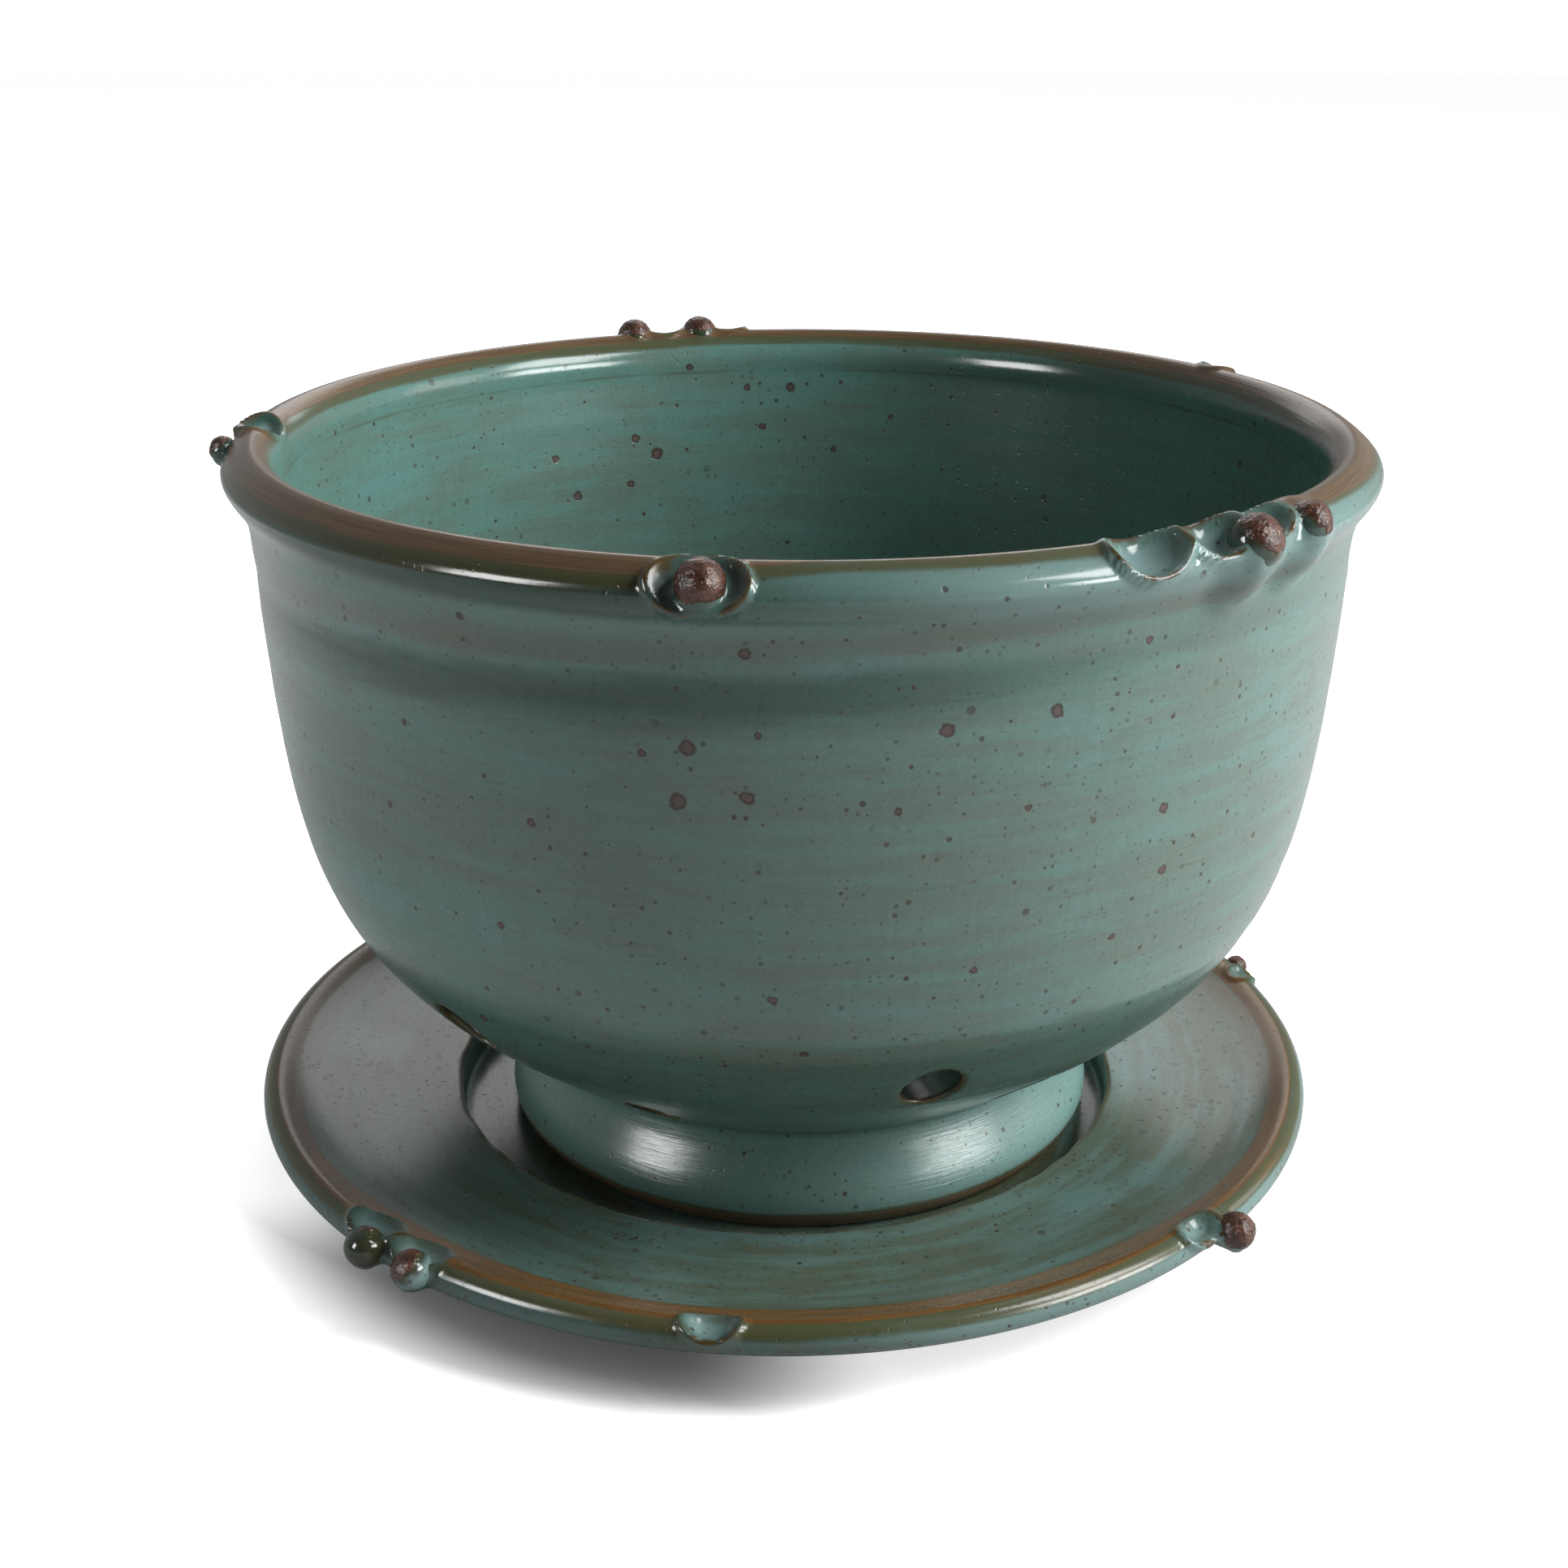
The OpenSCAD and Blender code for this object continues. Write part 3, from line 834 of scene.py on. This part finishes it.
# Materials
class Nodes:
    """Short calls for a material's nodes. A value is a number, a colour or another node's output."""

    def __init__(self, tree):
        self.tree = tree
        tree.nodes.clear()

    def put(self, value, socket):
        if isinstance(value, bpy.types.NodeSocket):
            self.tree.links.new(value, socket)
        else:
            socket.default_value = value

    def add(self, kind, values=(), **settings):
        node = self.tree.nodes.new("ShaderNode" + kind)
        for key, value in settings.items():
            setattr(node, key, value)
        for key, value in dict(values).items():
            self.put(value, node.inputs[key])
        return node

    def math(self, operation, a, b=0.0, c=0.0, clamp=False):
        return self.add("Math", {0: a, 1: b, 2: c}, operation=operation, use_clamp=clamp).outputs[0]

    def fold(self, operation, values):
        result = values[0]
        for value in values[1:]:
            result = self.math(operation, result, value)
        return result

    def times(self, *values):
        return self.fold("MULTIPLY", values)

    def plus(self, *values):
        return self.fold("ADD", values)

    def highest(self, *values):
        return self.fold("MAXIMUM", values)

    def scaled(self, value, scale, offset):
        return self.math("MULTIPLY_ADD", value, scale, offset)

    def vector(self, operation, a, b=(0, 0, 0), scale=1.0):
        node = self.add("VectorMath", {0: a, 1: b}, operation=operation)
        if operation == "SCALE":
            self.put(scale, node.inputs["Scale"])
        return node.outputs["Value" if operation in ("LENGTH", "DISTANCE", "DOT_PRODUCT") else "Vector"]

    def attribute(self, name):
        return self.add("Attribute", attribute_name=name).outputs["Fac"]

    def noise(self, vector, scale, detail=2.0, roughness=0.5):
        return self.add("TexNoise", {"Vector": vector, "Scale": scale, "Detail": detail,
                                     "Roughness": roughness}).outputs["Fac"]

    def step(self, value, low, high, to_low=0.0, to_high=1.0):
        node = self.add("MapRange", {0: value, 1: low, 2: high, 3: to_low, 4: to_high},
                        interpolation_type="SMOOTHSTEP")
        return node.outputs[0]

    def mix(self, share, a, b, blend="MIX"):
        node = self.add("Mix", {0: share}, data_type="RGBA", blend_type=blend)
        for colour, socket in ((a, node.inputs[6]), (b, node.inputs[7])):
            self.put((*colour, 1) if isinstance(colour, tuple) else colour, socket)
        return node.outputs[2]

    def grey(self, value):
        return self.add("CombineColor", {channel: value for channel in range(3)}).outputs[0]

    def finish(self, kind, result):
        self.put(result.outputs[0], self.add("Output" + kind).inputs["Surface"])


TEAL = (0.150, 0.268, 0.236)
BLUE = (0.156, 0.296, 0.280)
GREY_GREEN = (0.158, 0.222, 0.190)
SAUCER_TEAL = (0.120, 0.205, 0.182)
SAUCER_BLUE = (0.135, 0.245, 0.250)
SAUCER_OLIVE = (0.100, 0.132, 0.092)
DARK_GREEN = (0.034, 0.082, 0.066)
OLIVE = (0.085, 0.088, 0.036)
BROWN = (0.118, 0.072, 0.036)
RUST = (0.150, 0.074, 0.022)
GOLD = (0.092, 0.062, 0.022)
# Pale pooled glaze, also used for painted highlight and painted reflection
PALE = (0.245, 0.385, 0.380)
# Pale foot glaze, also carrying painted light towards the right
FOOT_PALE_AND_PAINTED_LIGHT = (0.340, 0.560, 0.525)
GREY_BAND = (0.165, 0.165, 0.138)
# Painted shade for the inside of the drain holes' bores
BORE_PAINTED_SHADE = (0.020, 0.024, 0.015)
INSIDE_TINT = (0.84, 0.97, 0.95)
BEAD_BASE = ((0.045, 0.075, 0.055), (0.060, 0.060, 0.028), (0.090, 0.190, 0.185))
SPECK = (0.060, 0.035, 0.030)
SPECK_MIDDLE = (0.170, 0.120, 0.115)
RAW_CLAY = (0.300, 0.205, 0.140)
BEAD_BROWN = (0.066, 0.028, 0.018)

# Large iron spots: turn, height and width of each, on the wall's outside and on its inside
OUTSIDE_SPOTS = (
    (-10, 86, 2.2), (-11, 79, 2.3), (-5, 80, 1.8), (-14, 85, 1.1), (-5, 98, 1.6), (12, 88, 1.9),
    (22, 89, 1.9), (35, 73, 1.6), (36, 64, 1.4), (-30, 58, 1.2), (-3, 52, 1.3), (0, 43, 1.2),
    (31, 96, 1.2), (8, 78, 1.1), (-25, 74, 1.2), (31, 56, 1.1), (20, 77, 1.0), (-37, 40, 1.4),
    (16, 55, 1.1), (-4, 88, 1.0), (96, 70, 1.6), (150, 84, 1.8), (-140, 62, 1.5), (-100, 88, 1.4),
)
INSIDE_SPOTS = (
    (-160, 88, 2.3), (-179, 99, 1.7), (-148, 82, 1.9), (-165, 103, 1.3), (-173, 99, 1.3),
    (-175, 92, 1.3), (167, 94, 1.2), (-145, 89, 1.5), (-157, 91, 1.6), (-156, 83, 1.4),
    (110, 96, 1.1), (60, 70, 1.6), (-40, 50, 1.8), (175, 88, 1.1),
)


def spot_places(spots, wall):
    """Each spot's place on a stretch of the bowl's outline, in metres, with its radius."""
    found = []
    for turn, height, width in spots:
        r = float(np.interp(height, wall[:, 1], wall[:, 0]))
        a = math.radians(turn)
        x, y = BOWL_AXIS[0] + r * math.sin(a), BOWL_AXIS[1] - r * math.cos(a)
        found.append(((x * MM, y * MM, (height + BOWL_AXIS[2]) * MM), width / 2 * MM))
    return found


# Iron specks: cells per millimetre, the most that chance adds to a speck's size, its least size, the
# share of cells with none, and a speck's strength
SPECKS = ((0.62, 0.17, 0.07, 0.55, 0.90), (0.25, 0.13, 0.04, 0.66, 0.95), (0.95, 0.17, 0.09, 0.50, 0.60))

# A glaze's own values. The brown shows where it runs thin: how much paler that is where worn, in
# patches of what size if they don't follow its lines, and what roughness, grain and lines it has.
Look = namedtuple(
    "Look", "base brown paler patches speckled rough brown_rough grain grain_bump line_bump lines_per_mm")
BOWL_LOOK = Look(
    base=(TEAL, GREY_GREEN, BLUE), brown=BROWN, paler=1.45, patches=None, speckled=1.0, rough=0.19,
    brown_rough=0.07, grain=6.0, grain_bump=0.005, line_bump=0.03, lines_per_mm=3.2,
)
SAUCER_LOOK = BOWL_LOOK._replace(
    base=(SAUCER_TEAL, SAUCER_OLIVE, SAUCER_BLUE), brown=RUST, speckled=1.8, line_bump=0.005,
    lines_per_mm=0.8,
)
BEAD_LOOK = BOWL_LOOK._replace(
    base=BEAD_BASE, brown=BEAD_BROWN, paler=2.2, patches=0.9, rough=0.07, brown_rough=0.0,
    grain=1.7, grain_bump=0.20,
)


class Glaze(Nodes):
    """A satin iron-bearing glaze: teal, streaked where the wheel turned, brown where it runs thin."""

    def __init__(self, tree, axis, look):
        super().__init__(tree)
        self.look = look
        self.place = self.add("TexCoord").outputs["Object"]
        centred = self.vector("SUBTRACT", self.place, tuple(v * MM for v in axis))
        self.mm = self.vector("SCALE", centred, scale=1 / MM)
        self.round_dir = self.vector("NORMALIZE", self.vector("MULTIPLY", self.mm, (1, 1, 0)))
        self.run = self.attribute("run")
        self.bare = self.attribute("bare")
        self.streak = self.noise(self.swirl(3.2, 0.42), 1.0, 3.0, 0.6)
        self.lines = self.noise(self.swirl(5.0, look.lines_per_mm), 1.0, 3.0, 0.6)
        self.clouds = self.noise(self.mm, 0.045, 3.0, 0.55)
        self.mottle = self.noise(self.mm, 1.5, 3.0, 0.6)
        ragged = self.plus(self.attribute("thin"), self.scaled(self.streak, 0.5, -0.25))
        self.ragged = self.plus(ragged, self.scaled(self.mottle, 0.14, -0.07))
        self.brown_share = self.step(self.ragged, 0.50, 0.72)

    def swirl(self, around, along):
        """Coordinates whose features are drawn out round the piece."""
        lift = self.add("CombineXYZ", {"Z": self.times(self.run, along)}).outputs[0]
        return self.vector("ADD", self.vector("SCALE", self.round_dir, scale=around), lift)


def base_colour(n):
    broad = n.noise(n.swirl(1.5, 0.11), 1.0, 3.0, 0.55)
    fine_streak = n.noise(n.swirl(7.0, 1.6), 1.0, 2.0, 0.6)
    greyer = n.step(n.plus(n.streak, n.times(n.clouds, 0.7)), 0.66, 1.02)
    bluer = n.step(n.plus(broad, n.times(n.clouds, -0.5)), 0.20, 0.56, 0.0, 0.65)
    colour = n.mix(greyer, n.look.base[0], n.look.base[1])
    colour = n.mix(bluer, colour, n.look.base[2])
    return n.mix(n.step(fine_streak, 0.56, 0.80, 0.0, 0.24), colour, OLIVE)


def band(n, colour):
    """The dark band in the groove below the rim, the grey band above it, the pale foot with painted
    light that makes it paler towards the right, painted shade on the lowest part of the wall, and the
    greener inside."""
    height = n.add("SeparateXYZ", {0: n.mm}).outputs["Z"]
    sideways = n.add("SeparateXYZ", {0: n.round_dir}).outputs["X"]
    outside = n.attribute("outside")
    ridge = n.math("SUBTRACT", height, n.scaled(sideways, 3.6, 93.0))
    ridge = n.plus(ridge, n.scaled(n.streak, 4.0, -2.0))
    dark = n.times(n.step(ridge, -6.5, -0.8), n.step(ridge, 3.6, 0.4), outside)
    dark = n.times(dark, n.step(sideways, 0.75, -0.05, 0.15, 0.75))
    grey_band = n.times(n.step(ridge, 3.0, 5.0), n.step(ridge, 8.5, 6.0), outside, 0.45)
    # Painted shade: the lowest part of the outside wall, where it curves under, is darkened
    low = n.step(n.plus(height, n.times(n.clouds, 3.0)), 44.5, 41.5, 0.0, 0.45)
    colour = n.mix(dark, colour, DARK_GREEN)
    colour = n.mix(grey_band, colour, GREY_BAND)
    # The foot's own pale glaze, with painted light making it paler towards the right
    colour = n.mix(n.attribute("foot"), colour, FOOT_PALE_AND_PAINTED_LIGHT)
    colour = n.mix(n.times(low, outside), colour, DARK_GREEN)
    return n.mix(outside, n.mix(1.0, colour, INSIDE_TINT, "MULTIPLY"), colour)


def tone(n, colour):
    """Darker places, fine mottling and hairs, and pale pools, which also carry painted highlight on
    the rim's right and painted reflection on the saucer's well wall.
    """
    hairs = n.noise(n.swirl(75.0, 0.10), 1.0, 2.0, 0.6)
    colour = n.mix(n.attribute("darker"), colour, DARK_GREEN)
    shade = n.plus(n.times(n.mottle, 0.34), n.times(hairs, 0.14), 0.76)
    colour = n.mix(1.0, colour, n.grey(shade), "MULTIPLY")
    # Pale pools of glaze, and painted highlight and painted reflection from the same mask
    pooled = n.times(n.attribute("pool_and_painted_sheen"), n.step(n.clouds, 0.2, 0.7, 0.6, 0.95))
    return n.mix(pooled, colour, PALE)


def specks(n):
    """Where small iron specks lie."""
    found = []
    for scale, more, least, empty, strength in SPECKS:
        cells = n.add("TexVoronoi", {"Vector": n.mm, "Scale": scale, "Randomness": 1.0})
        chances = n.add("SeparateColor", {0: cells.outputs["Color"]})
        chance, size_chance, strong_chance = chances.outputs
        size = n.plus(n.times(size_chance, more), least)
        inside = n.math("SUBTRACT", size, cells.outputs["Distance"])
        inside = n.plus(inside, n.scaled(n.mottle, 0.20 * scale, -0.10 * scale))
        chosen = n.math("GREATER_THAN", chance, 1 - (1 - empty) * n.look.speckled)
        share = n.times(n.step(inside, -0.02, 0.03), n.times(chosen, strength))
        found.append(n.times(share, n.plus(n.times(strong_chance, 0.7), 0.3)))
    return n.highest(*found)


def speckle(n, colour, spots):
    """Specks, then the large spots one by one. Returns the colour and where they lie."""
    share = specks(n)
    blot = n.scaled(n.noise(n.mm, 1.1, 2.0, 0.5), 0.9 * MM, -0.45 * MM)
    cores = []
    for middle, radius in spots:
        gap = n.plus(n.vector("DISTANCE", n.place, middle), blot)
        share = n.highest(share, n.times(n.step(gap, radius * 1.12, radius * 0.8), 0.92))
        cores.append(n.step(gap, radius * 0.75, radius * 0.35))
    colour = n.mix(share, colour, SPECK)
    if cores:
        colour = n.mix(n.times(n.highest(*cores), 0.55), colour, SPECK_MIDDLE)
    return colour, share


def thin_places(n, colour):
    """Olive and then brown where the glaze runs thin, gold at scoops' edges, painted shade in the
    drain holes' bores, and bare clay.
    """
    look = n.look
    colour = n.mix(n.step(n.ragged, 0.22, 0.50, 0.0, 0.9), colour, OLIVE)
    patchy = n.noise(n.mm, look.patches, 2.0, 0.5) if look.patches else n.lines
    worn = n.mix(n.step(patchy, 0.35, 0.65), look.brown, tuple(v * look.paler for v in look.brown))
    colour = n.mix(n.brown_share, colour, worn)
    uneven = n.scaled(n.noise(n.mm, 0.30, 2.0, 0.5), 1.8, -0.9)
    gold = n.step(n.plus(n.attribute("edge"), uneven), 0.40, 0.95)
    colour = n.mix(gold, colour, GOLD)
    # Painted shade inside the drain holes' bores
    colour = n.mix(n.times(n.attribute("bore"), 0.7), colour, BORE_PAINTED_SHADE)
    return n.mix(n.bare, colour, RAW_CLAY)


def roughness(n):
    rough = n.scaled(n.mottle, 0.10, n.look.rough)
    rough = n.math("SUBTRACT", rough, n.times(n.attribute("glossy"), 0.09))
    rough = n.plus(rough, n.times(n.brown_share, n.look.brown_rough))
    dull = n.math("ADD", n.bare, n.times(n.attribute("bore"), 0.2), clamp=True)
    return n.plus(rough, n.times(dull, 0.40))


def bump(n, speck_share, banded):
    grain = n.noise(n.mm, n.look.grain, 3.0, 0.65)
    height = n.plus(
        n.times(n.mottle, 0.008),
        n.times(n.lines, n.brown_share, n.look.line_bump),
        n.times(grain, n.brown_share, n.look.grain_bump),
        n.times(grain, n.bare, 0.10),
    )
    height = n.math("SUBTRACT", height, n.times(speck_share, 0.03))
    if banded:
        height = n.plus(height, n.times(n.lines, n.attribute("foot"), 0.10))
    return n.add("Bump", {"Height": height, "Strength": 1.0, "Distance": MM}).outputs[0]


def glaze(name, axis, look, spots=(), banded=False):
    material = bpy.data.materials.new(name)
    material.use_nodes = True
    n = Glaze(material.node_tree, axis, look)
    colour = base_colour(n)
    if banded:
        colour = band(n, colour)
    colour, speck_share = speckle(n, tone(n, colour), spots)
    n.finish("Material", n.add("BsdfPrincipled", {
        "Base Color": thin_places(n, colour), "Roughness": roughness(n),
        "Normal": bump(n, speck_share, banded), "IOR": 1.5,
    }))
    return material


# Camera first: where the photograph was taken from
camera = add_object("camera", bpy.data.cameras.new("camera"))
camera.location = (0, -0.311, 0.1767)
camera.rotation_euler = (math.radians(68.84), 0, 0)
camera.data.lens = 49.73
camera.data.sensor_width = 36
camera.data.clip_start = 0.01
bpy.context.scene.camera = camera

# The pieces
bowl_section = bowl_outline()
bowl_crest = int(bowl_section.points[:, 1].argmax())
wall_outside = bowl_section.points[:bowl_crest]
wall_outside = wall_outside[wall_outside[:, 1] > NECK[1]]
wall_inside = bowl_section.points[bowl_crest:][::-1]
bowl_spots = spot_places(OUTSIDE_SPOTS, wall_outside) + spot_places(INSIDE_SPOTS, wall_inside)

bowl_glaze = glaze("bowl_glaze", BOWL_AXIS, BOWL_LOOK, bowl_spots, banded=True)
saucer_glaze = glaze("saucer_glaze", SAUCER_AXIS, SAUCER_LOOK)
bead_clay = glaze("bead_clay", BOWL_AXIS, BEAD_LOOK)

bowl = build_bowl(bowl_section)
saucer = build_saucer(saucer_outline())
for piece, node, body, slot, material in (
    (bowl, "bowl", "bowl_body", "bowl_glaze", bowl_glaze),
    (saucer, "saucer", "saucer_body", "saucer_glaze", saucer_glaze),
):
    piece.data.materials.append(material)
    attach(piece, body)
    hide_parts(node)

for rim, body in ((BOWL_RIM, "bowl_body"), (SAUCER_RIM, "saucer_body")):
    for node, place in rim.beads.items():
        piece = build_bead(node, place, rim)
        piece.data.materials.append(bead_clay)
        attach(piece, body)
        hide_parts(node)


# Floor: white to the camera, and it keeps the object's shadow
FLOOR_HALF = 3.0
FLOOR_GREY = (0.55, 0.55, 0.55)
SHADOW_SIDE = (-0.5, -0.866, 0.0)
WHITE = (1, 1, 1, 1)


def make_floor():
    mesh = bpy.data.meshes.new("floor")
    corners = [(x * FLOOR_HALF, y * FLOOR_HALF, 0) for x, y in ((-1, -1), (1, -1), (1, 1), (-1, 1))]
    mesh.from_pydata(corners, [], [(0, 1, 2, 3)])
    floor = add_object("floor", mesh)
    material = bpy.data.materials.new("pale_floor")
    material.use_nodes = True
    mesh.materials.append(material)
    n = Nodes(material.node_tree)
    path = n.add("LightPath").outputs
    seen = path["Is Camera Ray"]
    place = n.add("TexCoord").outputs["Object"]
    from_middle = n.vector("LENGTH", place)

    # Paint: to the camera, darker under the object as painted shade, and a plain grey to all other rays
    white_and_painted_shade = n.grey(n.step(from_middle, 0.068, 0.086, 0.35, 1.8))
    paint = n.add("BsdfDiffuse", {"Color": n.mix(seen, FLOOR_GREY, white_and_painted_shade)})

    # Glow: it fills up to white away from the object, except on the side where its shadow falls
    away = n.step(from_middle, 0.074, 0.094)
    towards_shadow = n.vector("DOT_PRODUCT", n.vector("NORMALIZE", place), SHADOW_SIDE)
    beside = n.step(towards_shadow, 0.96, 0.74, 0.0, 0.75)
    paler = n.scaled(n.highest(away, beside), 0.9, 0.04)
    mirrored = n.times(path["Is Glossy Ray"], away, 0.25)
    glow = n.add("Emission", {"Color": WHITE, "Strength": n.math("MULTIPLY_ADD", seen, paler, mirrored)})
    n.finish("Material", n.add("AddShader", {0: paint.outputs[0], 1: glow.outputs[0]}))


make_floor()


# Light: softboxes at the right, left and back. A card is seen only in reflections, and three of the
# softboxes aren't seen there.
LIGHT_CENTRE = Vector((0, 0, 0.06))


def softbox(name, turn, lift, distance, width, height, power, matt=True, shiny=True):
    """A rectangular lamp that faces the object. It lights matt and shiny surfaces as asked."""
    lamp = add_object(name, bpy.data.lights.new(name, "AREA"))
    lamp.data.shape = "RECTANGLE"
    lamp.data.size = width
    lamp.data.size_y = height
    lamp.data.energy = power
    lamp.location = LIGHT_CENTRE + distance * Vector(direction(turn, lift))
    lamp.rotation_euler = (lamp.location - LIGHT_CENTRE).to_track_quat("Z", "Y").to_euler()
    lamp.visible_diffuse = matt
    lamp.visible_glossy = shiny


softbox("right_softbox", 82, 16, 0.9, 0.70, 0.44, 5.7, shiny=False)
softbox("right_card", 63, 16, 0.9, 0.44, 0.24, 6.2, matt=False)
softbox("right_high_softbox", 72, 42, 0.9, 0.36, 0.34, 5.3)
softbox("right_side_softbox", 100, 20, 0.9, 0.36, 0.34, 1.0)
softbox("left_side_softbox", -98, 0, 0.38, 0.6, 0.09, 0.50, shiny=False)
softbox("left_front_softbox", -57, 18, 0.9, 0.36, 0.18, 0.55, shiny=False)
softbox("left_front_card", -57, 20, 0.9, 0.28, 0.34, 5.0, matt=False)
softbox("back_softbox", 180, 30, 0.9, 0.5, 0.34, 1.0)


def make_world():
    """White to the camera, a pale backdrop in reflections, and a little light all round."""
    world = bpy.data.worlds.new("studio")
    bpy.context.scene.world = world
    world.use_nodes = True
    n = Nodes(world.node_tree)
    path = n.add("LightPath").outputs
    depth = n.add("SeparateXYZ", {0: n.add("TexCoord").outputs["Generated"]}).outputs["Y"]
    backdrop = n.times(n.step(depth, -0.45, 0.45), path["Is Glossy Ray"])
    strength = n.highest(path["Is Camera Ray"], n.scaled(backdrop, 0.36, 0.02))
    n.finish("World", n.add("Background", {"Color": WHITE, "Strength": strength}))


make_world()

bpy.context.scene.view_settings.view_transform = "Standard"
